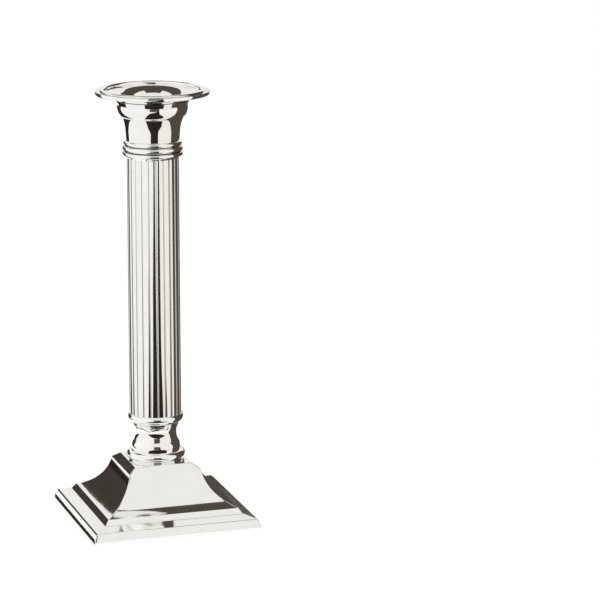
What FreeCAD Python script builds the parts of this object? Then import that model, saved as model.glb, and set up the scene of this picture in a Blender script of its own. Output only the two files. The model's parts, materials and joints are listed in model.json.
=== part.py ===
import FreeCAD, Part
import math
import os

import Sketcher

# Column candlestick: a square weighted pedestal, a reeded column, a bell-shaped capital
# and a nozzle (drip pan with candle cup) that lifts out of the capital.
# Millimetres, +Z up, origin at the centre of the underside, pedestal sides along X and Y.
# Stack from the table up: felt, base plate, weighted pedestal, base ring, spool, foot ring,
# reeded tube, neck collar, capital, nozzle. One tie rod on the axis clamps the stack.

SIZES = {
    # sheet thicknesses
    "sheet_wall": 0.8,
    "pedestal_wall": 0.9,
    "cup_wall": 0.6,
    # felt and base plate
    "zero": 0.0,
    "felt_half": 46.5,
    "felt_corner": 3.0,
    "felt_top": 1.2,
    "plate_half": 47.4,
    "plate_corner": 2.0,
    "plate_top": 2.2,
    # pedestal outline: half width and height of each edge, from the hem up
    "hem_height": 0.3,
    "hem_half": 49.0,
    "lip_height": 1.5,
    "brow_half": 47.7,
    "brow_height": 5.4,
    "brow_edge_half": 47.1,
    "brow_edge_height": 5.9,
    "slope_half": 40.6,
    "slope_height": 7.9,
    "riser_half": 38.4,
    "riser_height": 10.9,
    "cove_half": 21.0,
    "cove_height": 31.0,
    "cove_centre": 47.0,
    "plateau_half": 16.7,
    "plateau_height": 34.0,
    "rod_hole": 3.3,
    # ballast inside the pedestal
    "ballast_top_half": 15.5,
    "ballast_waist_half": 20.0,
    "ballast_waist_height": 25.0,
    "ballast_shoulder_half": 29.5,
    "ballast_shoulder_height": 13.0,
    "ballast_foot_half": 36.5,
    "ballast_foot_height": 9.0,
    "recess_radius": 8.5,
    "recess_top": 11.8,
    # base ring, on the plateau
    "base_ring_foot": 15.4,
    "base_ring_foot_top": 34.9,
    "base_ring_bead_centre": 14.35,
    "base_ring_top_radius": 14.2,
    "base_ring_top": 39.8,
    "ring_bore": 7.0,
    # spool between the base ring and the foot ring
    "spool_foot_radius": 14.15,
    "spool_foot_top": 41.4,
    "spool_shoulder_radius": 13.0,
    "spool_shoulder_height": 45.2,
    "spool_shoulder_centre": 8.0,
    "spool_waist_centre": 22.55,
    "spool_flare_radius": 13.15,
    "spool_flare_height": 54.4,
    "spool_top": 55.2,
    "spool_wall": 1.2,
    # column foot ring
    "foot_collar_radius": 13.45,
    "foot_bead_bottom": 56.5,
    "foot_bead_centre": 13.2,
    "foot_shelf_radius": 15.1,
    # reeded tube
    "tube_bottom": 61.4,
    "tube_top": 210.9,
    "tube_bore": 13.6,
    "reed_radius": 6.0,
    "reed_circle_bottom": 9.05,
    "reed_circle_top": 8.87,
    "reed_count": 22,
    "plug_radius": 13.55,
    "plug_length": 4.0,
    # neck collar with three beads
    "collar_bottom": 210.9,
    "collar_skirt_radius": 14.95,
    "bead_low_bottom": 211.8,
    "bead_low_top": 214.6,
    "bead_mid_top": 218.0,
    "bead_high_top": 220.7,
    "bead_low_centre": 15.85,
    "bead_mid_centre": 15.5,
    "bead_high_centre": 15.3,
    "collar_low_radius": 15.7,
    "collar_low_valley": 15.9,
    "collar_high_valley": 15.8,
    "collar_seat": 212.2,
    "collar_seat_bore": 8.0,
    "collar_bore": 13.3,
    # capital
    "bell_bottom": 220.7,
    "bell_bottom_radius": 15.2,
    "bell_waist_height": 226.0,
    "bell_waist_radius": 15.65,
    "bell_flare_height": 234.2,
    "bell_flare_radius": 17.95,
    "bell_flare_centre": 35.0,
    "lip_step_radius": 18.8,
    "lip_step_height": 235.0,
    "lip_bead_centre": 12.0,
    "lip_neck_radius": 20.0,
    "lip_neck_height": 241.2,
    "bell_top_radius": 21.3,
    "bell_top": 243.8,
    "bell_mouth_radius": 20.5,
    "bell_mouth_height": 243.2,
    # socket that takes the nozzle, inside the capital
    "socket_bore": 12.6,
    "socket_radius": 13.2,
    "socket_flange_radius": 15.9,
    "socket_flange_bottom": 231.8,
    "seat_height": 232.6,
    # tie rod and its fasteners
    "rod_radius": 3.0,
    "rod_bottom": 3.4,
    "rod_point": 0.5,
    "rod_top": 217.8,
    "nut_flats": 10.0,
    "washer_radius": 6.0,
    "bridge_top": 213.2,
    "top_washer_top": 214.4,
    "top_nut_top": 217.4,
    "bottom_washer_bottom": 10.6,
    "lock_washer_bottom": 9.2,
    "lock_washer_radius": 5.4,
    "bottom_nut_bottom": 4.2,
    # nozzle: candle cup
    "cup_bore": 11.5,
    "cup_bottom": 218.6,
    "cup_floor": 219.6,
    "cup_mouth": 236.8,
    # nozzle: locating collar under the pan
    "spigot_radius": 12.5,
    "spigot_bottom": 226.0,
    "shoulder_radius": 15.4,
    "shoulder_top": 234.0,
    # nozzle: drip pan, upper face first
    "throat_radius": 12.8,
    "funnel_radius": 19.2,
    "funnel_height": 243.2,
    "bowl_edge_radius": 27.0,
    "bowl_edge_height": 247.9,
    "bowl_arc_centre": 31.27,
    "flange_radius": 31.2,
    "flange_underside": 247.5,
    "under_edge_radius": 27.3,
    "under_edge_height": 247.1,
    "under_funnel_radius": 19.77,
    "under_funnel_height": 242.64,
    "under_throat_radius": 13.13,
    # nozzle: rim moulding on the pan's flange
    "edge_band_radius": 32.35,
    "edge_band_centre": 28.7,
    "edge_band_bottom": 247.0,
    "edge_band_top": 248.9,
    "rim_valley_radius": 30.4,
    "rim_bead_height": 248.7,
    "rim_bead_inner": 27.1,
    "rim_bead_outer": 29.7,
}

doc = FreeCAD.newDocument("candlestick")
sizes = doc.addObject("Spreadsheet::Sheet", "Sizes")
for row, (alias, number) in enumerate(SIZES.items(), start=1):
    sizes.set(f"A{row}", alias)
    sizes.set(f"B{row}", str(number))
    sizes.setAlias(f"B{row}", alias)
doc.recompute()

sub_parts = []


def measure(terms):
    """The number that a sum of sheet aliases comes to, such as 'bell_top - sheet_wall'."""
    total = 0.0
    sign = 1.0
    for term in terms.split():
        if term in "+-":
            sign = 1.0 if term == "+" else -1.0
        else:
            total += sign * float(sizes.get(term))
    return total


def bound(terms):
    """The same sum, written as a document expression."""
    return " ".join(term if term in "+-" else "Sizes." + term for term in terms.split())


def sub_part(kind, name):
    """A document object that is one piece of the candlestick."""
    piece = doc.addObject(kind, name)
    piece.Label = name
    sub_parts.append(piece)
    return piece


def new_sketch(body, name, role, height=None):
    """A sketch on one of the body's own planes, raised by a height from the sheet."""
    sketch = body.newObject("Sketcher::SketchObject", name)
    plane = next(feature for feature in body.Origin.OriginFeatures if feature.Role == role)
    sketch.AttachmentSupport = [(plane, "")]
    sketch.MapMode = "FlatFace"
    if height:
        sketch.setExpression("AttachmentOffset.Base.z", bound(height))
    return sketch


def dimension(sketch, kind, terms, *where):
    """A driving dimension tied to the sheet."""
    index = sketch.addConstraint(Sketcher.Constraint(kind, *where, measure(terms)))
    sketch.setExpression(f"Constraints[{index}]", bound(terms))


def distance_across(sketch, terms, edge, end, mirrored):
    """Holds a point at a distance from the vertical axis, on its left if mirrored."""
    where = (edge, end, -1, 1) if mirrored else (-1, 1, edge, end)
    dimension(sketch, "DistanceX", terms, *where)


def distance_up(sketch, terms, edge, end):
    dimension(sketch, "DistanceY", terms, -1, 1, edge, end)


def arc_centre(start, finish, known, number):
    """The point equally far from both ends that has one known coordinate."""
    middle = (start + finish) * 0.5
    chord = finish - start
    if known == "across":
        return FreeCAD.Vector(number, middle.y - (number - middle.x) * chord.x / chord.y, 0)
    return FreeCAD.Vector(middle.x - (number - middle.y) * chord.y / chord.x, number, 0)


def draw_edge(sketch, start, finish, arc, mirrored):
    """Draws one edge and returns its index with its first and last point."""
    if arc is None:
        return sketch.addGeometry(Part.LineSegment(start, finish), False), 1, 2
    known, terms, turn = arc
    number = measure(terms)
    if mirrored and known == "across":
        number = -number
    centre = arc_centre(start, finish, known, number)
    begin = math.atan2(start.y - centre.y, start.x - centre.x)
    end = math.atan2(finish.y - centre.y, finish.x - centre.x)
    circle = Part.Circle(centre, FreeCAD.Vector(0, 0, 1), (start - centre).Length)
    if (turn == "left") != mirrored:
        return sketch.addGeometry(Part.ArcOfCircle(circle, begin, end), False), 1, 2
    return sketch.addGeometry(Part.ArcOfCircle(circle, end, begin), False), 2, 1


def chain(sketch, corners, closed, mirrored=False):
    """Draws the edges from corner to corner. A corner is (across, up), or (across, up, arc) where
    the edge that leaves it is an arc: arc is ("across" or "up", that coordinate of its centre,
    "left" or "right", the side of travel on which the centre lies)."""
    side = -1 if mirrored else 1
    points = [FreeCAD.Vector(side * measure(c[0]), measure(c[1]), 0) for c in corners]
    edges = []
    last_edge = len(corners) if closed else len(corners) - 1
    for number in range(last_edge):
        arc = corners[number][2] if len(corners[number]) == 3 else None
        finish = points[(number + 1) % len(points)]
        edge, first, last = draw_edge(sketch, points[number], finish, arc, mirrored)
        if edges:
            before = edges[-1]
            joint = Sketcher.Constraint("Coincident", before[0], before[2], edge, first)
            sketch.addConstraint(joint)
        edges.append((edge, first, last))
        distance_across(sketch, corners[number][0], edge, first, mirrored)
        distance_up(sketch, corners[number][1], edge, first)
        if arc and arc[0] == "across":
            distance_across(sketch, arc[1], edge, 3, mirrored)
        elif arc:
            distance_up(sketch, arc[1], edge, 3)
    edge, _, last = edges[-1]
    if closed:
        joint = Sketcher.Constraint("Coincident", edge, last, edges[0][0], edges[0][1])
        sketch.addConstraint(joint)
    else:
        distance_across(sketch, corners[-1][0], edge, last, mirrored)
        distance_up(sketch, corners[-1][1], edge, last)
    return edges


def turned(name, corners):
    """A piece turned about the vertical axis from one closed outline."""
    body = sub_part("PartDesign::Body", name)
    sketch = new_sketch(body, name + "_outline", "XZ_Plane")
    chain(sketch, corners, closed=True)
    turn = body.newObject("PartDesign::Revolution", name + "_turn")
    turn.Profile = sketch
    turn.ReferenceAxis = (sketch, ["V_Axis"])
    turn.Angle = 360
    return body


def ring(name, inner, outer, bottom, top):
    """A plain round ring, disc or washer."""
    return turned(name, [(inner, bottom), (outer, bottom), (outer, top), (inner, top)])


def cylinder(name, radius, bottom, top):
    """A plain cylinder on the axis, to cut with."""
    tool = doc.addObject("Part::Cylinder", name)
    tool.setExpression("Radius", bound(radius))
    tool.setExpression("Height", f"{bound(top)} - ({bound(bottom)})")
    tool.setExpression("Placement.Base.z", bound(bottom))
    return tool


def pad_up(body, sketch, name, bottom, top):
    pad = body.newObject("PartDesign::Pad", name)
    pad.Profile = sketch
    pad.setExpression("Length", f"{bound(top)} - ({bound(bottom)})")
    return pad


def rounded_square(name, half, corner, bottom, top):
    """A square sheet, centred on the axis, with rounded corners."""
    body = sub_part("PartDesign::Body", name)
    sketch = new_sketch(body, name + "_outline", "XY_Plane", bottom)
    size = measure(half)
    places = [(-size, -size), (size, -size), (size, size), (-size, size)]
    points = [FreeCAD.Vector(x, y, 0) for x, y in places]
    for number in range(4):
        sketch.addGeometry(Part.LineSegment(points[number], points[(number + 1) % 4]), False)
    for number in range(4):
        sketch.addConstraint(Sketcher.Constraint("Coincident", number, 2, (number + 1) % 4, 1))
    for number in (0, 2):
        sketch.addConstraint(Sketcher.Constraint("Horizontal", number))
        sketch.addConstraint(Sketcher.Constraint("Vertical", number + 1))
    dimension(sketch, "DistanceX", half, -1, 1, 2, 1)
    dimension(sketch, "DistanceY", half, -1, 1, 2, 1)
    dimension(sketch, "DistanceX", half, 0, 1, -1, 1)
    dimension(sketch, "DistanceY", half, 0, 1, -1, 1)
    pad = pad_up(body, sketch, name + "_pad", bottom, top)
    doc.recompute()
    upright = [
        f"Edge{number}"
        for number, edge in enumerate(pad.Shape.Edges, start=1)
        if abs(edge.tangentAt(edge.FirstParameter).z) > 0.99
    ]
    fillet = body.newObject("PartDesign::Fillet", name + "_corners")
    fillet.Base = (pad, upright)
    fillet.setExpression("Radius", bound(corner))
    return body


def hexagon_nut(name, bottom, top):
    """A hexagon nut on the tie rod. Its first corner lies on the X axis."""
    body = sub_part("PartDesign::Body", name)
    sketch = new_sketch(body, name + "_outline", "XY_Plane", bottom)
    origin = FreeCAD.Vector(0, 0, 0)
    upward = FreeCAD.Vector(0, 0, 1)
    reach = measure("nut_flats") / math.sqrt(3)
    turns = [math.radians(60 * side) for side in range(6)]
    points = [FreeCAD.Vector(reach * math.cos(a), reach * math.sin(a), 0) for a in turns]
    for side in range(6):
        sketch.addGeometry(Part.LineSegment(points[side], points[(side + 1) % 6]), False)
    rim = sketch.addGeometry(Part.Circle(origin, upward, reach), True)
    sketch.addConstraint(Sketcher.Constraint("Coincident", rim, 3, -1, 1))
    for side in range(6):
        after = (side + 1) % 6
        sketch.addConstraint(Sketcher.Constraint("Coincident", side, 2, after, 1))
        sketch.addConstraint(Sketcher.Constraint("PointOnObject", side, 1, rim))
        if side:
            sketch.addConstraint(Sketcher.Constraint("Equal", 0, side))
    sketch.addConstraint(Sketcher.Constraint("PointOnObject", 0, 1, -1))
    dimension(sketch, "DistanceY", "nut_flats", 4, 1, 1, 1)
    bore = sketch.addGeometry(Part.Circle(origin, upward, measure("rod_radius")), False)
    sketch.addConstraint(Sketcher.Constraint("Coincident", bore, 3, -1, 1))
    dimension(sketch, "Radius", "rod_radius", bore)
    pad_up(body, sketch, name + "_pad", bottom, top)
    return body


def mitred_block(name, half_outline):
    """A square block whose four sides all follow one half outline, from its lowest corner to its
    highest: the outline run along Y, kept where the same outline run along X has material too."""
    runs = []
    for role in ("XZ_Plane", "YZ_Plane"):
        run = doc.addObject("PartDesign::Body", f"{name}_{role[:2]}")
        sketch = new_sketch(run, f"{name}_{role[:2]}_outline", role)
        right = chain(sketch, half_outline, closed=False)
        left = chain(sketch, half_outline, closed=False, mirrored=True)
        for number, which in ((0, 1), (-1, 2)):
            right_end = (right[number][0], right[number][which])
            left_end = (left[number][0], left[number][which])
            across = Part.LineSegment(sketch.getPoint(*left_end), sketch.getPoint(*right_end))
            line = sketch.addGeometry(across, False)
            sketch.addConstraint(Sketcher.Constraint("Coincident", line, 1, *left_end))
            sketch.addConstraint(Sketcher.Constraint("Coincident", line, 2, *right_end))
        pad = run.newObject("PartDesign::Pad", f"{name}_{role[:2]}_pad")
        pad.Profile = sketch
        pad.Midplane = True
        pad.setExpression("Length", "3 * Sizes.hem_half")
        runs.append(run)
    block = doc.addObject("Part::Common", name)
    block.Base, block.Tool = runs
    return block


def cut(block, tool, name):
    result = doc.addObject("Part::Cut", name)
    result.Base = block
    result.Tool = tool
    return result


def moved_in(half_outline, wall):
    """The same outline, moved inwards and down by a wall thickness."""
    return [
        tuple(f"{entry} - {wall}" for entry in corner[:2])
        + tuple((arc[0], f"{arc[1]} - {wall}", arc[2]) for arc in corner[2:])
        for corner in half_outline
    ]


# ---- pedestal, its loading and its underside

pedestal_outline = [
    ("hem_half", "hem_height"),
    ("hem_half", "lip_height"),
    ("brow_half", "brow_height"),
    ("brow_edge_half", "brow_edge_height"),
    ("slope_half", "slope_height"),
    ("riser_half", "riser_height", ("across", "cove_centre", "right")),
    ("cove_half", "cove_height"),
    ("plateau_half", "plateau_height"),
]
solid_pedestal = mitred_block("pedestal_outside", pedestal_outline)
hollow = mitred_block("pedestal_inside", moved_in(pedestal_outline, "pedestal_wall"))
open_shell = cut(solid_pedestal, hollow, "pedestal_hollowed")
pedestal_shell = sub_part("Part::Cut", "pedestal_shell")
pedestal_shell.Base = open_shell
pedestal_shell.Tool = cylinder("plateau_hole", "rod_hole", "ballast_waist_height", "tube_bottom")

ballast_block = mitred_block(
    "ballast_block",
    [
        ("ballast_foot_half", "plate_top"),
        ("ballast_foot_half", "ballast_foot_height"),
        ("ballast_shoulder_half", "ballast_shoulder_height"),
        ("ballast_waist_half", "ballast_waist_height"),
        ("ballast_top_half", "plateau_height - pedestal_wall"),
    ],
)
recessed = cut(
    ballast_block,
    cylinder("nut_recess", "recess_radius", "felt_top", "recess_top"),
    "ballast_recessed",
)
ballast = sub_part("Part::Cut", "ballast")
ballast.Base = recessed
ballast.Tool = cylinder("ballast_hole", "rod_hole", "felt_top", "tube_bottom")

rounded_square("base_plate", "plate_half", "plate_corner", "felt_top", "plate_top")
rounded_square("felt_pad", "felt_half", "felt_corner", "zero", "felt_top")

# ---- stem: base ring, spool, foot ring

turned(
    "base_ring",
    [
        ("ring_bore", "plateau_height"),
        ("base_ring_foot", "plateau_height"),
        ("base_ring_foot", "base_ring_foot_top", ("across", "base_ring_bead_centre", "left")),
        ("base_ring_top_radius", "base_ring_top"),
        ("ring_bore", "base_ring_top"),
    ],
)
turned(
    "spool",
    [
        ("spool_foot_radius - spool_wall", "base_ring_top"),
        ("spool_foot_radius", "base_ring_top"),
        ("spool_foot_radius", "spool_foot_top", ("across", "spool_shoulder_centre", "left")),
        ("spool_shoulder_radius", "spool_shoulder_height", ("across", "spool_waist_centre", "right")),
        ("spool_flare_radius", "spool_flare_height"),
        ("spool_flare_radius", "spool_top"),
        ("spool_flare_radius - spool_wall", "spool_top"),
        (
            "spool_flare_radius - spool_wall",
            "spool_flare_height",
            ("across", "spool_waist_centre - spool_wall", "left"),
        ),
        ("spool_shoulder_radius - spool_wall", "spool_shoulder_height"),
        ("spool_foot_radius - spool_wall", "spool_foot_top"),
    ],
)
turned(
    "column_foot_ring",
    [
        ("ring_bore", "spool_top"),
        ("foot_collar_radius", "spool_top"),
        ("foot_collar_radius", "foot_bead_bottom", ("across", "foot_bead_centre", "left")),
        ("foot_shelf_radius", "tube_bottom"),
        ("ring_bore", "tube_bottom"),
    ],
)

# ---- reeded tube between two centring plugs

column_tube = sub_part("PartDesign::Body", "column_tube")
reed_sections = []
for level in ("bottom", "top"):
    section = new_sketch(column_tube, f"reed_{level}", "XY_Plane", f"tube_{level}")
    centre = FreeCAD.Vector(0, measure(f"reed_circle_{level}"), 0)
    circle = Part.Circle(centre, FreeCAD.Vector(0, 0, 1), measure("reed_radius"))
    reed = section.addGeometry(circle, False)
    section.addConstraint(Sketcher.Constraint("PointOnObject", reed, 3, -2))
    dimension(section, "DistanceY", f"reed_circle_{level}", -1, 1, reed, 3)
    dimension(section, "Radius", "reed_radius", reed)
    reed_sections.append(section)
reed_run = column_tube.newObject("PartDesign::AdditiveLoft", "reed_run")
reed_run.Profile = reed_sections[0]
reed_run.Sections = [reed_sections[1]]
reed_run.Ruled = True
reeds = column_tube.newObject("PartDesign::PolarPattern", "reeds")
reeds.Originals = [reed_run]
reeds.Axis = (reed_sections[0], ["N_Axis"])
reeds.Angle = 360
reeds.setExpression("Occurrences", "Sizes.reed_count")
column_tube.Tip = reeds
bore_sketch = new_sketch(column_tube, "tube_bore_outline", "XY_Plane", "tube_bottom")
bore_circle = Part.Circle(
    FreeCAD.Vector(0, 0, 0), FreeCAD.Vector(0, 0, 1), measure("tube_bore")
)
bore_edge = bore_sketch.addGeometry(bore_circle, False)
bore_sketch.addConstraint(Sketcher.Constraint("Coincident", bore_edge, 3, -1, 1))
dimension(bore_sketch, "Radius", "tube_bore", bore_edge)
bore = column_tube.newObject("PartDesign::Pocket", "tube_bore_cut")
bore.Profile = bore_sketch
bore.Type = "ThroughAll"
bore.Midplane = True

ring("lower_plug", "rod_hole", "plug_radius", "tube_bottom", "tube_bottom + plug_length")
ring("upper_plug", "rod_hole", "plug_radius", "tube_top - plug_length", "tube_top")

# ---- neck collar, capital and the socket inside them

turned(
    "neck_collar",
    [
        ("collar_seat_bore", "collar_bottom"),
        ("collar_skirt_radius", "collar_bottom"),
        ("collar_low_radius", "bead_low_bottom", ("across", "bead_low_centre", "left")),
        ("collar_low_valley", "bead_low_top", ("across", "bead_mid_centre", "left")),
        ("collar_high_valley", "bead_mid_top", ("across", "bead_high_centre", "left")),
        ("bell_bottom_radius", "bead_high_top"),
        ("collar_bore", "bead_high_top"),
        ("collar_bore", "collar_seat"),
        ("collar_seat_bore", "collar_seat"),
    ],
)
ring("bridge_plate", "rod_hole", "socket_radius", "collar_seat", "bridge_top")
turned(
    "capital",
    [
        ("bell_bottom_radius - sheet_wall", "bell_bottom"),
        ("bell_bottom_radius", "bell_bottom"),
        ("bell_waist_radius", "bell_waist_height", ("across", "bell_flare_centre", "right")),
        ("bell_flare_radius", "bell_flare_height"),
        ("lip_step_radius", "lip_step_height", ("across", "lip_bead_centre", "left")),
        ("lip_neck_radius", "lip_neck_height"),
        ("bell_top_radius", "bell_top"),
        ("bell_mouth_radius", "bell_mouth_height"),
        ("lip_neck_radius - sheet_wall", "lip_neck_height"),
        (
            "bell_flare_radius - sheet_wall",
            "bell_flare_height",
            ("across", "bell_flare_centre - sheet_wall", "left"),
        ),
        ("bell_waist_radius - sheet_wall", "bell_waist_height"),
    ],
)
turned(
    "socket",
    [
        ("socket_bore", "bridge_top"),
        ("socket_radius", "bridge_top"),
        ("socket_radius", "socket_flange_bottom"),
        ("socket_flange_radius", "socket_flange_bottom"),
        ("socket_flange_radius", "seat_height"),
        ("socket_bore", "seat_height"),
    ],
)

# ---- tie rod and its fasteners

tie_rod = sub_part("PartDesign::Body", "tie_rod")
rod_sketch = new_sketch(tie_rod, "tie_rod_outline", "XY_Plane", "rod_bottom")
rod_circle = Part.Circle(
    FreeCAD.Vector(0, 0, 0), FreeCAD.Vector(0, 0, 1), measure("rod_radius")
)
rod_edge = rod_sketch.addGeometry(rod_circle, False)
rod_sketch.addConstraint(Sketcher.Constraint("Coincident", rod_edge, 3, -1, 1))
dimension(rod_sketch, "Radius", "rod_radius", rod_edge)
rod_pad = pad_up(tie_rod, rod_sketch, "tie_rod_pad", "rod_bottom", "rod_top")
doc.recompute()
rod_ends = [
    f"Edge{number}"
    for number, edge in enumerate(rod_pad.Shape.Edges, start=1)
    if len(edge.Vertexes) == 1
]
rod_points = tie_rod.newObject("PartDesign::Chamfer", "tie_rod_points")
rod_points.Base = (rod_pad, rod_ends)
rod_points.setExpression("Size", "Sizes.rod_point")

hexagon_nut("top_nut", "top_washer_top", "top_nut_top")
ring("top_washer", "rod_hole", "washer_radius", "bridge_top", "top_washer_top")
ring("bottom_washer", "rod_hole", "washer_radius", "bottom_washer_bottom", "recess_top")
ring(
    "lock_washer",
    "rod_hole",
    "lock_washer_radius",
    "lock_washer_bottom",
    "bottom_washer_bottom",
)
hexagon_nut("bottom_nut", "bottom_nut_bottom", "lock_washer_bottom")

# ---- nozzle: drip pan, rim moulding, candle cup and locating collar

turned(
    "drip_pan",
    [
        ("cup_bore + cup_wall", "cup_mouth - sheet_wall"),
        ("under_throat_radius", "cup_mouth - sheet_wall"),
        ("under_funnel_radius", "under_funnel_height", ("across", "bowl_arc_centre", "right")),
        ("under_edge_radius", "under_edge_height"),
        ("flange_radius", "flange_underside"),
        ("flange_radius", "bowl_edge_height"),
        ("bowl_edge_radius", "bowl_edge_height", ("across", "bowl_arc_centre", "left")),
        ("funnel_radius", "funnel_height"),
        ("throat_radius", "cup_mouth"),
        ("cup_bore + cup_wall", "cup_mouth"),
    ],
)
turned(
    "rim_moulding",
    [
        ("rim_bead_inner", "bowl_edge_height"),
        ("flange_radius", "bowl_edge_height"),
        ("flange_radius", "edge_band_bottom"),
        ("edge_band_radius", "edge_band_bottom", ("across", "edge_band_centre", "left")),
        ("edge_band_radius", "edge_band_top"),
        ("rim_valley_radius", "rim_bead_height"),
        ("rim_bead_outer", "rim_bead_height", ("up", "rim_bead_height", "left")),
        ("rim_bead_inner", "rim_bead_height"),
    ],
)
turned(
    "candle_cup",
    [
        ("zero", "cup_bottom"),
        ("cup_bore + cup_wall", "cup_bottom"),
        ("cup_bore + cup_wall", "cup_mouth"),
        ("cup_bore", "cup_mouth"),
        ("cup_bore", "cup_floor"),
        ("zero", "cup_floor"),
    ],
)
turned(
    "locating_collar",
    [
        ("cup_bore + cup_wall", "spigot_bottom"),
        ("spigot_radius", "spigot_bottom"),
        ("spigot_radius", "seat_height"),
        ("shoulder_radius", "seat_height"),
        ("shoulder_radius", "shoulder_top"),
        ("cup_bore + cup_wall", "shoulder_top"),
    ],
)

# ---- check every object, then write one file for each piece

doc.recompute()
for item in doc.Objects:
    if "Invalid" in item.State or "Error" in item.State:
        raise RuntimeError(f"{item.Name} could not be built: {item.State}")
os.makedirs("parts", exist_ok=True)
for piece in sub_parts:
    shape = piece.Shape
    if shape.isNull() or not shape.isValid() or len(shape.Solids) != 1:
        raise RuntimeError(f"{piece.Label} is not one valid solid")
    shape.exportStep(f"parts/{piece.Label}.step")
    box = shape.BoundBox
    print(f"{piece.Label:18s} {shape.Volume:10.1f} mm3  z {box.ZMin:7.2f} to {box.ZMax:7.2f}")
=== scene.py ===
import json
import math

import bmesh
import bpy
from mathutils import Euler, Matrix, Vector


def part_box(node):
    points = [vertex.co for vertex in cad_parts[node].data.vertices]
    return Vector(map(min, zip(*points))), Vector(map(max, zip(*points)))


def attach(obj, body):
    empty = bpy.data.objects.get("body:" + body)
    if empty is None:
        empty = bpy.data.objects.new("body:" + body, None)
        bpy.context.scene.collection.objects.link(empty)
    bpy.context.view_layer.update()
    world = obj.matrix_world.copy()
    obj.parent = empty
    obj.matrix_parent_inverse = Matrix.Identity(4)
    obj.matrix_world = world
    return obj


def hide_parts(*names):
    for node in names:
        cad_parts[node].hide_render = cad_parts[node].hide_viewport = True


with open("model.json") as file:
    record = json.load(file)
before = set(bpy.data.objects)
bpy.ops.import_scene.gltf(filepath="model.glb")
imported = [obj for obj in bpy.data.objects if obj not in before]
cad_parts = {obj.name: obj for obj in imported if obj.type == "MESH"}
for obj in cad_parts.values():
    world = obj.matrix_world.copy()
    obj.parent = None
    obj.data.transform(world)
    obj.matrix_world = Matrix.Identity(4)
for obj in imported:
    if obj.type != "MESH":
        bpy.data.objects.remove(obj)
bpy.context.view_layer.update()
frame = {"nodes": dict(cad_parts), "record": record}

# Column candlestick in polished silver plate. Outlines are in millimetres, meshes in metres.
# Levels are counted from the foot or the top of each CAD node, read from the frame.

MM = 0.001
SCENE = bpy.context.scene


def box_mm(node):
    """Greatest distance out, lowest and highest level of a CAD node, in millimetres."""
    low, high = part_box(node)
    return max(high.x, high.y) / MM, low.z / MM, high.z / MM


# ---- camera

CAMERA_TURN = -0.313
CAMERA_TILT = 0.227
CAMERA_ROLL = -0.001
CAMERA_PLACE = (0.0831, -1.66342, 0.51181)
CAMERA_LENS = 178.9


def in_studio(across, away, up):
    """A place given as the camera stands: to its right, away from it and up, in metres."""
    place = Vector((across, away, up))
    place.rotate(Euler((0, 0, CAMERA_TURN)))
    return place


camera_data = bpy.data.cameras.new("camera")
camera_data.lens = CAMERA_LENS
camera_data.sensor_width = 36
camera_data.clip_end = 50
camera = bpy.data.objects.new("camera", camera_data)
camera.location = in_studio(*CAMERA_PLACE)
camera.rotation_euler = (math.pi / 2 - CAMERA_TILT, CAMERA_ROLL, CAMERA_TURN)
SCENE.collection.objects.link(camera)
SCENE.camera = camera
SCENE.view_settings.view_transform = "Standard"


# ---- outlines. A corner is (out, up) or (out, up, arc); the arc describes the edge that leaves
# it: ("out" or "up", that coordinate of the arc's centre, "left" or "right" of travel)

ARC_STEP = math.radians(2.5)
FEWEST_ARC_STEPS = 4
REAL_CORNER = math.radians(10)
EDGE_SOFTENING = 0.14
FINE_SOFTENING = 0.08
GREATEST_CUT_SHARE = 0.45
LONG_EDGE = 1
GUARD_GAP = 0.08
ROUNDING_SHARES = (0.2, 0.4, 0.6, 0.8)


def edge_points(start, finish, arc):
    """The points of one edge, both ends included."""
    if arc is None:
        return [start, finish]
    known, number, turn = arc
    middle = (start + finish) / 2
    chord = finish - start
    if known == "out":
        centre = Vector((number, middle.y - (number - middle.x) * chord.x / chord.y))
    else:
        centre = Vector((middle.x - (number - middle.y) * chord.y / chord.x, number))
    begin = math.atan2(start.y - centre.y, start.x - centre.x)
    sweep = math.atan2(finish.y - centre.y, finish.x - centre.x) - begin
    if turn == "left" and sweep < 0:
        sweep += 2 * math.pi
    if turn == "right" and sweep > 0:
        sweep -= 2 * math.pi
    radius = (start - centre).length
    steps = max(FEWEST_ARC_STEPS, math.ceil(abs(sweep) / ARC_STEP))
    angles = [begin + sweep * step / steps for step in range(steps + 1)]
    return [centre + radius * Vector((math.cos(angle), math.sin(angle))) for angle in angles]


def cut_back(line, distance):
    """The line without its first stretch, and with a point close to its new start, so that the
    faces that follow a rounded corner stay flat."""
    line = list(line)
    while len(line) > 2 and (line[1] - line[0]).length <= distance:
        distance -= (line[1] - line[0]).length
        line.pop(0)
    step = line[1] - line[0]
    line[0] = line[0] + step * min(GREATEST_CUT_SHARE, distance / step.length)
    if step.length > LONG_EDGE:
        line.insert(1, line[0] + step.normalized() * GUARD_GAP)
    return line


def rounding(start, corner, finish):
    """The points strictly between two cut-back edges, on a curve that leans on their corner."""
    return [
        start * (1 - share) ** 2 + corner * 2 * share * (1 - share) + finish * share**2
        for share in ROUNDING_SHARES
    ]


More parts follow.
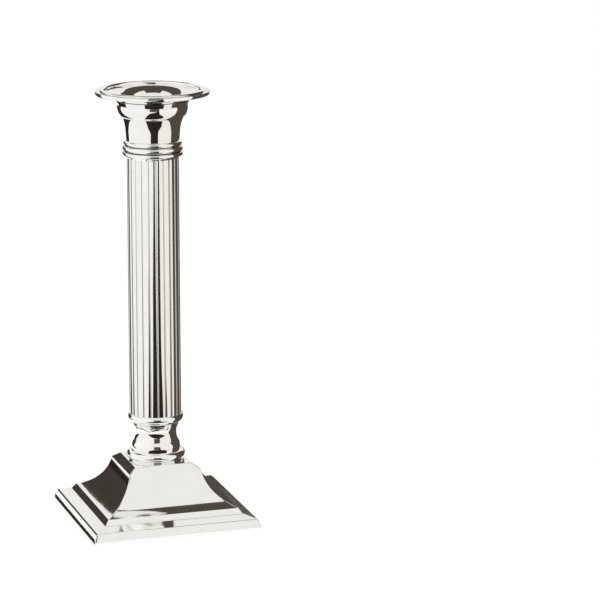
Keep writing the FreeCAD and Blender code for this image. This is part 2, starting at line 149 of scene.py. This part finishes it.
def outline_points(corners, closed, softening):
    """The points of an outline whose real corners are rounded off a little."""
    count = len(corners) if closed else len(corners) - 1
    edges = []
    for number in range(count):
        corner = corners[number]
        after = corners[(number + 1) % len(corners)]
        arc = corner[2] if len(corner) == 3 else None
        edges.append(edge_points(Vector(corner[:2]), Vector(after[:2]), arc))
    cuts = []
    for number, edge in enumerate(edges):
        before = edges[number - 1]
        turn = abs((before[-1] - before[-2]).angle_signed(edge[1] - edge[0]))
        real = turn > REAL_CORNER and (closed or number > 0)
        cuts.append(softening if real else 0)
    points = []
    for number, edge in enumerate(edges):
        ends = closed or number < count - 1
        short = cut_back(edge, cuts[number])
        short = cut_back(short[::-1], cuts[(number + 1) % count] if ends else 0)[::-1]
        if points and cuts[number]:
            points += rounding(points[-1], edge[0], short[0])
        points += short[1:] if points and not cuts[number] else short
    if closed and cuts[0]:
        points += rounding(points[-1], edges[0][0], points[0])
    elif closed:
        points.pop()
    return points


# ---- meshes


def bridge(mesh, near, far):
    """Faces between two closed rows of vertices."""
    for number in range(len(near)):
        after = (number + 1) % len(near)
        corners = []
        for vertex in (near[number], near[after], far[after], far[number]):
            if vertex not in corners:
                corners.append(vertex)
        if len(corners) > 2:
            mesh.faces.new(corners)


def finished(mesh, name, body, slot, node):
    """The object made from a mesh. It rides on its body and stands for its CAD node."""
    bmesh.ops.recalc_face_normals(mesh, faces=mesh.faces)
    data = bpy.data.meshes.new(name)
    mesh.to_mesh(data)
    mesh.free()
    data.polygons.foreach_set("use_smooth", [True] * len(data.polygons))
    data.materials.append(FINISHES[slot])
    piece = bpy.data.objects.new(name, data)
    SCENE.collection.objects.link(piece)
    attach(piece, body)
    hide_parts(node)
    return piece


TURN_STEPS = 256
ON_AXIS = 0.001


def turned_piece(name, body, slot, corners, closed=True, softening=EDGE_SOFTENING):
    """A piece turned about the vertical axis, named and placed as its CAD node is.
    Corners hold levels above that node's foot."""
    _, foot, _ = box_mm(name)
    mesh = bmesh.new()
    rows = []
    for point in outline_points(corners, closed, softening):
        up = (foot + point.y) * MM
        if point.x < ON_AXIS:
            rows.append([mesh.verts.new((0, 0, up))] * TURN_STEPS)
            continue
        row = []
        for step in range(TURN_STEPS):
            angle = 2 * math.pi * step / TURN_STEPS
            place = (point.x * MM * math.cos(angle), point.x * MM * math.sin(angle), up)
            row.append(mesh.verts.new(place))
        rows.append(row)
    for near, far in zip(rows, rows[1:] + (rows[:1] if closed else [])):
        bridge(mesh, near, far)
    return finished(mesh, name + "_surface", body, slot, name)


# ---- pedestal: a square at every level, its mitred corners just taken off

CORNER_STEPS = 5
SIDE_SHARES = (0.01, 0.25, 0.5, 0.75, 0.99)
PEDESTAL_CORNER = 0.35
PEDESTAL_SOFTENING = 0.22


def square_row(mesh, half, corner, up):
    """A closed row of vertices round a square with round corners. Sizes in millimetres."""
    flat = half - corner
    row = []
    for side in range(4):
        turn = side * math.pi / 2
        places = []
        for step in range(CORNER_STEPS + 1):
            angle = step * math.pi / 2 / CORNER_STEPS
            places.append(Vector((flat + corner * math.cos(angle), flat + corner * math.sin(angle))))
        places += [Vector((flat - 2 * flat * share, half)) for share in SIDE_SHARES]
        for x, y in places:
            turned_x = x * math.cos(turn) - y * math.sin(turn)
            turned_y = x * math.sin(turn) + y * math.cos(turn)
            row.append(mesh.verts.new((turned_x * MM, turned_y * MM, up * MM)))
    return row


def pedestal():
    half, low, high = box_mm("pedestal_shell")
    wall = 0.9
    bore = 4
    cove_centre = half - 2
    steps = [
        (half, low + 1.2),
        (half - 1.3, low + 5.1),
        (half - 1.9, low + 5.6),
        (half - 8.4, low + 7.6),
        (half - 10.6, low + 10.6, ("out", cove_centre, "right")),
        (half - 28, high - 3),
        (half - 32.3, high),
    ]
    lining = [(corner[0] - wall, corner[1] - wall) for corner in reversed(steps)]
    # on the way down, the cove's arc leaves its upper end
    lining[1] += (("out", cove_centre - wall, "left"),)
    outside = [(half, low), *steps, (bore, high)]
    inside = [(bore, high - wall), *lining, (half - wall, low)]
    mesh = bmesh.new()
    rows = []
    for point in outline_points(outside + inside, True, PEDESTAL_SOFTENING):
        rows.append(square_row(mesh, point.x, PEDESTAL_CORNER, point.y))
    for near, far in zip(rows, rows[1:] + rows[:1]):
        bridge(mesh, near, far)
    return finished(mesh, "pedestal_surface", "stand", "silver_plate", "pedestal_shell")


# ---- felt under the foot

FELT_THICKNESS = 1.2
FELT_CORNER = 3
FELT_INNER_CORNER = 2
FELT_INNER_SHARES = (0.3, 0.7)
# each row of the cut edge: how far up it is, and how far in from the side
FELT_EDGE_ROWS = ((0.0, 0.5), (0.05, 0.15), (0.35, 0.0), (0.8, 0.0), (1.12, 0.12), (1.2, 0.5))


def felt():
    """A slab of felt whose cut edge is soft."""
    half, low, high = box_mm("felt_pad")
    thickness = high - low
    mesh = bmesh.new()
    row_length = 4 * (CORNER_STEPS + 1 + len(SIDE_SHARES))
    rows = [[mesh.verts.new((0, 0, low * MM))] * row_length]
    for inner in FELT_INNER_SHARES:
        rows.append(square_row(mesh, half * inner, FELT_INNER_CORNER, low))
    for level, back in FELT_EDGE_ROWS:
        up = low + level * thickness / FELT_THICKNESS
        rows.append(square_row(mesh, half - back, FELT_CORNER, up))
    for inner in reversed(FELT_INNER_SHARES):
        rows.append(square_row(mesh, half * inner, FELT_INNER_CORNER, high))
    rows.append([mesh.verts.new((0, 0, high * MM))] * row_length)
    for near, far in zip(rows, rows[1:]):
        bridge(mesh, near, far)
    return finished(mesh, "felt_surface", "stand", "felt", "felt_pad")


# ---- reeded shaft

REED_COUNT = 22
REED_STEPS = 26
REED_RADIUS = 6.0
FIRST_REED = math.pi / 2
GROOVE_DEPTH = 0.32
GROOVE_REACH = 0.07


def reeded_row(mesh, outer, up):
    """A closed row of vertices round the shaft: convex reeds with a narrow groove between them."""
    pitch = 2 * math.pi / REED_COUNT
    circle = outer - REED_RADIUS
    row = []
    for reed in range(REED_COUNT):
        for step in range(REED_STEPS):
            share = step / REED_STEPS
            angle = (share - 0.5) * pitch
            aside = circle * math.sin(angle)
            out = circle * math.cos(angle) + math.sqrt(REED_RADIUS**2 - aside**2)
            into_groove = max(0, 1 - min(share, 1 - share) / GROOVE_REACH)
            out -= GROOVE_DEPTH * into_groove
            turn = FIRST_REED + reed * pitch + angle
            row.append(mesh.verts.new((out * MM * math.cos(turn), out * MM * math.sin(turn), up * MM)))
    return row


def shaft():
    outer, low, high = box_mm("column_tube")
    taper = 0.18
    bore = 13.6
    end_band = 0.25
    levels = [low, low + end_band]
    levels += [low + (high - low) * tenth / 10 for tenth in range(1, 10)]
    levels += [high - end_band, high]
    mesh = bmesh.new()
    rows = []
    for level in levels:
        rows.append(reeded_row(mesh, outer - taper * (level - low) / (high - low), level))
    for level in (high, low):
        row = []
        for number in range(REED_COUNT * REED_STEPS):
            turn = FIRST_REED + (number / REED_STEPS - 0.5) * 2 * math.pi / REED_COUNT
            place = (bore * MM * math.cos(turn), bore * MM * math.sin(turn), level * MM)
            row.append(mesh.verts.new(place))
        rows.append(row)
    for near, far in zip(rows, rows[1:] + rows[:1]):
        bridge(mesh, near, far)
    return finished(mesh, "shaft_surface", "stand", "silver_plate", "column_tube")


# ---- finishes


# a mix node has sockets of the same names for each kind of value: these are those for colours
COLOUR_INPUTS = (6, 7)
COLOUR_OUTPUT = 2


def feed(tree, socket, entry):
    """Links a node's output to a socket, or sets the socket to a plain value."""
    if isinstance(entry, bpy.types.NodeSocket):
        tree.links.new(entry, socket)
    else:
        socket.default_value = entry


def node(tree, kind, settings=(), **sockets):
    """A shader node. Socket names are given with underscores for spaces."""
    made = tree.nodes.new(kind)
    for name, setting in dict(settings).items():
        setattr(made, name, setting)
    for name, entry in sockets.items():
        feed(tree, made.inputs[name.replace("_", " ")], entry)
    return made


def colour_mix(tree, factor, *colours):
    """Goes from the first colour to the second while the factor goes from 0 to 1."""
    made = node(tree, "ShaderNodeMix", {"data_type": "RGBA"}, Factor=factor)
    for number, colour in zip(COLOUR_INPUTS, colours):
        feed(tree, made.inputs[number], (*colour, 1) if isinstance(colour, tuple) else colour)
    return made.outputs[COLOUR_OUTPUT]


def ramp(tree, factor, low, high, dark, light):
    """A colour or grey that goes from dark to light while the factor goes from low to high."""
    made = node(tree, "ShaderNodeMapRange", Value=factor, From_Min=low, From_Max=high)
    if isinstance(dark, tuple):
        return colour_mix(tree, made.outputs["Result"], dark, light)
    made.inputs["To Min"].default_value = dark
    made.inputs["To Max"].default_value = light
    return made.outputs["Result"]


def arithmetic(tree, operation, first, second):
    made = node(tree, "ShaderNodeMath", {"operation": operation})
    for socket, entry in zip(made.inputs, (first, second)):
        feed(tree, socket, entry)
    return made.outputs["Value"]


def noise(tree, place, scale, detail=2.0, distortion=0.0):
    made = node(
        tree,
        "ShaderNodeTexNoise",
        Vector=place,
        Scale=scale,
        Detail=detail,
        Distortion=distortion,
    )
    return made.outputs["Fac"]


def new_finish(name):
    """An empty material: its node tree, its surface shader and the place on the object."""
    finish = bpy.data.materials.new(name)
    finish.use_nodes = True
    tree = finish.node_tree
    surface = tree.nodes["Principled BSDF"]
    place = node(tree, "ShaderNodeTexCoord").outputs["Object"]
    return finish, tree, surface, place


def bumped(tree, height, strength, distance, below=None):
    made = node(tree, "ShaderNodeBump", Height=height, Strength=strength, Distance=distance)
    if below is not None:
        tree.links.new(below, made.inputs["Normal"])
    return made.outputs["Normal"]


def hairlines(tree, place, scale, width):
    """1 on thin curved lines such as polishing leaves, and 0 between them."""
    field = noise(tree, place, scale, detail=1.0, distortion=1.5)
    away = arithmetic(tree, "ABSOLUTE", arithmetic(tree, "SUBTRACT", field, 0.5), 0)
    return ramp(tree, away, 0.0, width, 1.0, 0.0)


def silver_finish():
    finish, tree, surface, place = new_finish("silver_plate")
    surface.inputs["Metallic"].default_value = 1
    # Hollows found by ambient occlusion are painted darker, which is painted shade, and are made
    # rougher, which stands for tarnish.
    open_sky = node(
        tree, "ShaderNodeAmbientOcclusion", {"samples": 8, "only_local": True}, Distance=0.0025
    ).outputs["AO"]
    recess_shade = arithmetic(tree, "SUBTRACT", 1, ramp(tree, open_sky, 0.3, 0.92, 0.0, 1.0))
    patches = noise(tree, place, 90, detail=4.0)
    shade_and_tarnish = arithmetic(tree, "MULTIPLY", recess_shade, ramp(tree, patches, 0.3, 0.6, 0.45, 1.0))
    bright = ramp(tree, patches, 0.35, 0.65, (0.955, 0.945, 0.925), (0.985, 0.98, 0.97))
    # the dark brown is painted shade in the hollows
    colour = colour_mix(tree, shade_and_tarnish, bright, (0.2, 0.165, 0.13))
    tree.links.new(colour, surface.inputs["Base Color"])
    lines = hairlines(tree, place, 260, 0.006)
    haze = ramp(tree, noise(tree, place, 35, detail=3.0), 0.3, 0.7, 0.035, 0.075)
    rough = arithmetic(tree, "ADD", haze, arithmetic(tree, "MULTIPLY", lines, 0.05))
    rough = arithmetic(tree, "ADD", rough, arithmetic(tree, "MULTIPLY", shade_and_tarnish, 0.2))
    tree.links.new(rough, surface.inputs["Roughness"])
    swell = bumped(tree, noise(tree, place, 28, detail=1.0), 0.25, 0.0004)
    fine = bumped(tree, lines, 0.06, 0.00002, swell)
    tree.links.new(fine, surface.inputs["Normal"])
    return finish


def brass_finish():
    finish, tree, surface, place = new_finish("bare_brass")
    surface.inputs["Metallic"].default_value = 1
    patches = noise(tree, place, 160, detail=5.0)
    colour = ramp(tree, patches, 0.35, 0.7, (0.78, 0.60, 0.31), (0.62, 0.44, 0.20))
    tree.links.new(colour, surface.inputs["Base Color"])
    tree.links.new(ramp(tree, patches, 0.3, 0.7, 0.22, 0.42), surface.inputs["Roughness"])
    marks = node(
        tree,
        "ShaderNodeTexWave",
        {"wave_type": "BANDS", "bands_direction": "Z"},
        Vector=place,
        Scale=900,
        Distortion=2.0,
        Detail=2.0,
    ).outputs["Fac"]
    tree.links.new(bumped(tree, marks, 0.15, 0.00005), surface.inputs["Normal"])
    return finish


def steel_finish():
    finish, tree, surface, place = new_finish("steel")
    surface.inputs["Metallic"].default_value = 1
    brushed = node(tree, "ShaderNodeMapping", Vector=place, Scale=(1, 1, 14)).outputs["Vector"]
    grain = noise(tree, brushed, 220, detail=6.0)
    colour = ramp(tree, grain, 0.3, 0.7, (0.52, 0.52, 0.54), (0.66, 0.66, 0.67))
    tree.links.new(colour, surface.inputs["Base Color"])
    tree.links.new(ramp(tree, grain, 0.3, 0.7, 0.28, 0.46), surface.inputs["Roughness"])
    tree.links.new(bumped(tree, grain, 0.2, 0.00005), surface.inputs["Normal"])
    return finish


def loading_finish():
    finish, tree, surface, place = new_finish("loading")
    coarse = noise(tree, place, 120, detail=8.0)
    pits = node(tree, "ShaderNodeTexVoronoi", Vector=place, Scale=420).outputs["Distance"]
    colour = ramp(tree, coarse, 0.3, 0.7, (0.34, 0.32, 0.30), (0.48, 0.46, 0.43))
    tree.links.new(colour, surface.inputs["Base Color"])
    tree.links.new(ramp(tree, coarse, 0.3, 0.7, 0.8, 0.95), surface.inputs["Roughness"])
    rough_face = bumped(tree, coarse, 0.5, 0.0006)
    tree.links.new(bumped(tree, pits, 0.3, 0.0003, rough_face), surface.inputs["Normal"])
    return finish


def felt_finish():
    finish, tree, surface, place = new_finish("felt")
    fibres = noise(tree, place, 1400, detail=6.0, distortion=3.0)
    worn = noise(tree, place, 60, detail=3.0)
    deep = ramp(tree, fibres, 0.35, 0.65, (0.018, 0.034, 0.024), (0.05, 0.085, 0.06))
    pressed = ramp(tree, worn, 0.4, 0.75, 0.0, 0.35)
    colour = colour_mix(tree, pressed, deep, (0.075, 0.105, 0.08))
    tree.links.new(colour, surface.inputs["Base Color"])
    surface.inputs["Roughness"].default_value = 0.95
    surface.inputs["Sheen Weight"].default_value = 0.5
    surface.inputs["Sheen Roughness"].default_value = 0.6
    tree.links.new(bumped(tree, fibres, 0.7, 0.0003), surface.inputs["Normal"])
    return finish


FINISHES = {
    "silver_plate": silver_finish(),
    "bare_brass": brass_finish(),
    "steel": steel_finish(),
    "loading": loading_finish(),
    "felt": felt_finish(),
}


# ---- the stand

pedestal()
felt()
shaft()
turned_piece(
    "base_ring",
    "stand",
    "silver_plate",
    [
        (7, 0),
        (15.4, 0),
        (15.4, 0.9, ("out", 14.35, "left")),
        (14.2, 5.8),
        (7, 5.8),
    ],
)
turned_piece(
    "spool",
    "stand",
    "silver_plate",
    [
        (12.95, 0),
        (14.15, 0),
        (14.15, 1.6, ("out", 8, "left")),
        (13, 5.4, ("out", 22.55, "right")),
        (13.15, 14.6),
        (13.15, 15.4),
        (11.95, 15.4),
        (11.95, 14.6, ("out", 21.35, "left")),
        (11.8, 5.4),
        (12.95, 1.6),
    ],
)
turned_piece(
    "column_foot_ring",
    "stand",
    "silver_plate",
    [
        (7, 0),
        (13.45, 0),
        (13.45, 1.3, ("out", 13.2, "left")),
        (15.1, 6.2),
        (7, 6.2),
    ],
)
turned_piece(
    "neck_collar",
    "stand",
    "silver_plate",
    [
        (8, 0),
        (14.95, 0),
        (15.7, 0.9, ("out", 15.85, "left")),
        (15.9, 3.7, ("out", 15.5, "left")),
        (15.8, 7.1, ("out", 15.3, "left")),
        (15.2, 9.8),
        (13.3, 9.8),
        (13.3, 1.3),
        (8, 1.3),
    ],
    softening=FINE_SOFTENING,
)
turned_piece(
    "capital",
    "stand",
    "silver_plate",
    [
        (14.4, 0),
        (15.2, 0),
        (15.65, 5.3, ("out", 35, "right")),
        (17.95, 13.5),
        (18.8, 14.3, ("out", 12, "left")),
        (20, 20.5),
        (21.3, 23.1),
        (20.5, 22.5),
        (19.2, 20.5),
        (17.15, 13.5, ("out", 34.2, "left")),
        (14.85, 5.3),
    ],
)
turned_piece(
    "socket",
    "stand",
    "bare_brass",
    [(12.6, 0), (13.2, 0), (13.2, 18.6), (15.9, 18.6), (15.9, 19.4), (12.6, 19.4)],
)

# ---- the nozzle

turned_piece(
    "drip_pan",
    "nozzle",
    "silver_plate",
    [
        (12.1, 0),
        (13.13, 0),
        (19.77, 6.64, ("out", 31.27, "right")),
        (27.3, 11.1),
        (31.2, 11.5),
        (31.2, 11.9),
        (27, 11.9, ("out", 31.27, "left")),
        (19.2, 7.2),
        (12.8, 0.8),
        (12.1, 0.8),
    ],
    softening=0.1,
)
turned_piece(
    "rim_moulding",
    "nozzle",
    "silver_plate",
    [
        (27.1, 0.9),
        (31.2, 0.9),
        (31.2, 0),
        (32.35, 0, ("out", 28.7, "left")),
        (32.35, 1.9),
        (30.4, 1.7),
        (29.7, 1.7, ("up", 1.7, "left")),
        (27.1, 1.7),
    ],
    softening=FINE_SOFTENING,
)
turned_piece(
    "candle_cup",
    "nozzle",
    "silver_plate",
    [(0, 0), (12.1, 0), (12.1, 18.2), (11.5, 18.2), (11.5, 1), (0, 1)],
    closed=False,
)
turned_piece(
    "locating_collar",
    "nozzle",
    "bare_brass",
    [(12.1, 0), (12.5, 0), (12.5, 6.6), (15.4, 6.6), (15.4, 8), (12.1, 8)],
)

for subpart in frame["record"]["subparts"]:
    kept = frame["nodes"][subpart["node"]]
    if not kept.hide_render:
        for material_slot in kept.material_slots:
            material_slot.material = FINISHES[subpart["material_slot"]]


# ---- studio: a pale floor, soft lights, and cards that only show as reflections


def glow(name, colour, strength):
    """A plain even light of one colour, for cards."""
    made = bpy.data.materials.new(name)
    made.use_nodes = True
    tree = made.node_tree
    tree.nodes.remove(tree.nodes["Principled BSDF"])
    shine = node(tree, "ShaderNodeEmission", Color=(*colour, 1), Strength=strength)
    tree.links.new(shine.outputs[0], tree.nodes["Material Output"].inputs["Surface"])
    return made


def plane(name, finish, corners):
    """A flat card between places in the camera's directions. It shows only as a reflection."""
    data = bpy.data.meshes.new(name)
    data.from_pydata([in_studio(*corner) for corner in corners], [], [range(len(corners))])
    data.materials.append(finish)
    made = bpy.data.objects.new(name, data)
    made.visible_camera = False
    made.visible_shadow = False
    made.visible_diffuse = False
    SCENE.collection.objects.link(made)


def ground(name, finish, corners, up):
    """A card that lies just above the floor."""
    plane(name, finish, [(across, away, up) for across, away in corners])


def upright(name, finish, corners, low, high):
    """A row of standing cards, from place to place along the floor."""
    for number, (one, other) in enumerate(zip(corners, corners[1:])):
        sides = [(*one, low), (*other, low), (*other, high), (*one, high)]
        plane(f"{name}_{number}", finish, sides)


def floor():
    data = bpy.data.meshes.new("floor")
    reach = 6
    corners = [(-reach, -reach, 0), (reach, -reach, 0), (reach, reach, 0), (-reach, reach, 0)]
    data.from_pydata(corners, [], [(0, 1, 2, 3)])
    finish = bpy.data.materials.new("floor")
    finish.use_nodes = True
    surface = finish.node_tree.nodes["Principled BSDF"]
    surface.inputs["Base Color"].default_value = (0.3, 0.3, 0.3, 1)
    surface.inputs["Roughness"].default_value = 0.8
    surface.inputs["Specular IOR Level"].default_value = 0.1
    surface.inputs["Emission Color"].default_value = (1, 1, 1, 1)
    surface.inputs["Emission Strength"].default_value = 0.74
    data.materials.append(finish)
    made = bpy.data.objects.new("floor", data)
    SCENE.collection.objects.link(made)


def soft_light(name, place, aim, size, power):
    data = bpy.data.lights.new(name, "AREA")
    data.shape = "RECTANGLE"
    data.size, data.size_y = size
    data.energy = power
    made = bpy.data.objects.new(name, data)
    made.location = in_studio(*place)
    made.rotation_euler = (in_studio(*aim) - made.location).to_track_quat("-Z", "Y").to_euler()
    made.visible_glossy = False
    SCENE.collection.objects.link(made)


def studio():
    floor()
    world = bpy.data.worlds.new("studio")
    SCENE.world = world
    world.use_nodes = True
    backdrop = world.node_tree.nodes["Background"]
    backdrop.inputs["Color"].default_value = (1, 0.99, 0.965, 1)
    backdrop.inputs["Strength"].default_value = 0.86
    aim = (0, 0, 0.1)
    size = (1.2, 1.2)
    power = 8
    soft_light("key_left", (-1.6, -1.2, 1.6), aim, size, power)
    soft_light("key_right", (1.6, -1.2, 1.6), aim, size, power)
    white = glow("card_white", (1, 1, 1), 0.94)
    pearl = glow("card_pearl", (0.9, 0.9, 0.89), 1)
    cream = glow("card_cream", (0.87, 0.85, 0.8), 1)
    brown = glow("card_brown", (0.075, 0.062, 0.052), 1)
    dim = glow("card_dim", (0.05, 0.041, 0.034), 1)
    black = glow("card_black", (0.02, 0.016, 0.013), 1)
    lift = 0.00015
    # a broad soft box on the left
    upright("soft_left", white, [(-0.55, -1.5), (-1.55, -0.8), (-1.5, 0.6)], 0.0, 2.4)
    # painted light: glowing cards stand for the floor in reflections, which is a little darker to the
    # left, and darker still to the right
    ground(
        "floor_left",
        pearl,
        [(-0.04, -0.07), (0.5, -1.75), (-1.7, -1.75), (-1.7, 0.7), (-0.1, 0.0)],
        lift,
    )
    ground(
        "floor_right",
        cream,
        [(0.03, -0.07), (0.9, -1.7), (1.7, -1.7), (1.7, -0.02), (0.1, -0.03)],
        lift,
    )
    # the unlit gap on the camera's side
    ground(
        "gap",
        black,
        [
            (-0.075, -0.09),
            (-0.085, -0.3),
            (-0.06, -0.65),
            (0.2, -1.07),
            (0.6, -1.75),
            (0.85, -1.75),
            (0.52, -1.07),
            (0.3, -0.6),
            (0.22, -0.4),
            (0.19, -0.2),
            (0.13, -0.09),
        ],
        2 * lift,
    )
    upright("gap_end", brown, [(-0.15, -1.76), (0.85, -1.76)], 0.0, 1.0)
    # the unlit corner on the left, behind the candlestick: a strip along the foot, then the
    # floor beyond a lit patch, and the wall
    ground(
        "corner_left_foot",
        black,
        [(-0.0316, -0.0616), (-0.0392, -0.0641), (-0.0784, 0.0576), (-0.0708, 0.0601)],
        2 * lift,
    )
    ground(
        "corner_left",
        black,
        [(-0.16, 0.013), (-1.32, 0.7), (-0.75, 1.3), (-0.16, 0.21)],
        2 * lift,
    )
    upright("corner_left_wall", dim, [(-1.1, 0.59), (-0.49, 1.15)], 0.0, 0.5)
    # the unlit side on the right, behind the candlestick
    ground(
        "side_right",
        brown,
        [(0.03, 0.04), (0.09, -0.02), (1.7, -0.02), (1.7, 1.6), (0.13, 1.6)],
        2 * lift,
    )
    upright("side_right_wall", brown, [(1.2, 0.0), (1.04, 0.6), (0.6, 1.04)], 0.0, 1.9)
    upright("side_right_sill", brown, [(0.6, 1.04), (0.06, 1.2)], 0.0, 0.14)
    # the unlit ceiling, behind and above the candlestick
    plane(
        "ceiling_gap",
        brown,
        [(-1.6, 0.3, 1.7), (1.6, 0.3, 1.7), (1.6, 1.3, 1.7), (-1.6, 1.3, 1.7)],
    )
    plane(
        "ceiling_near",
        brown,
        [(-0.35, -0.07, 1.7), (0.25, -0.07, 1.7), (0.25, 0.3, 1.7), (-0.35, 0.3, 1.7)],
    )


studio()
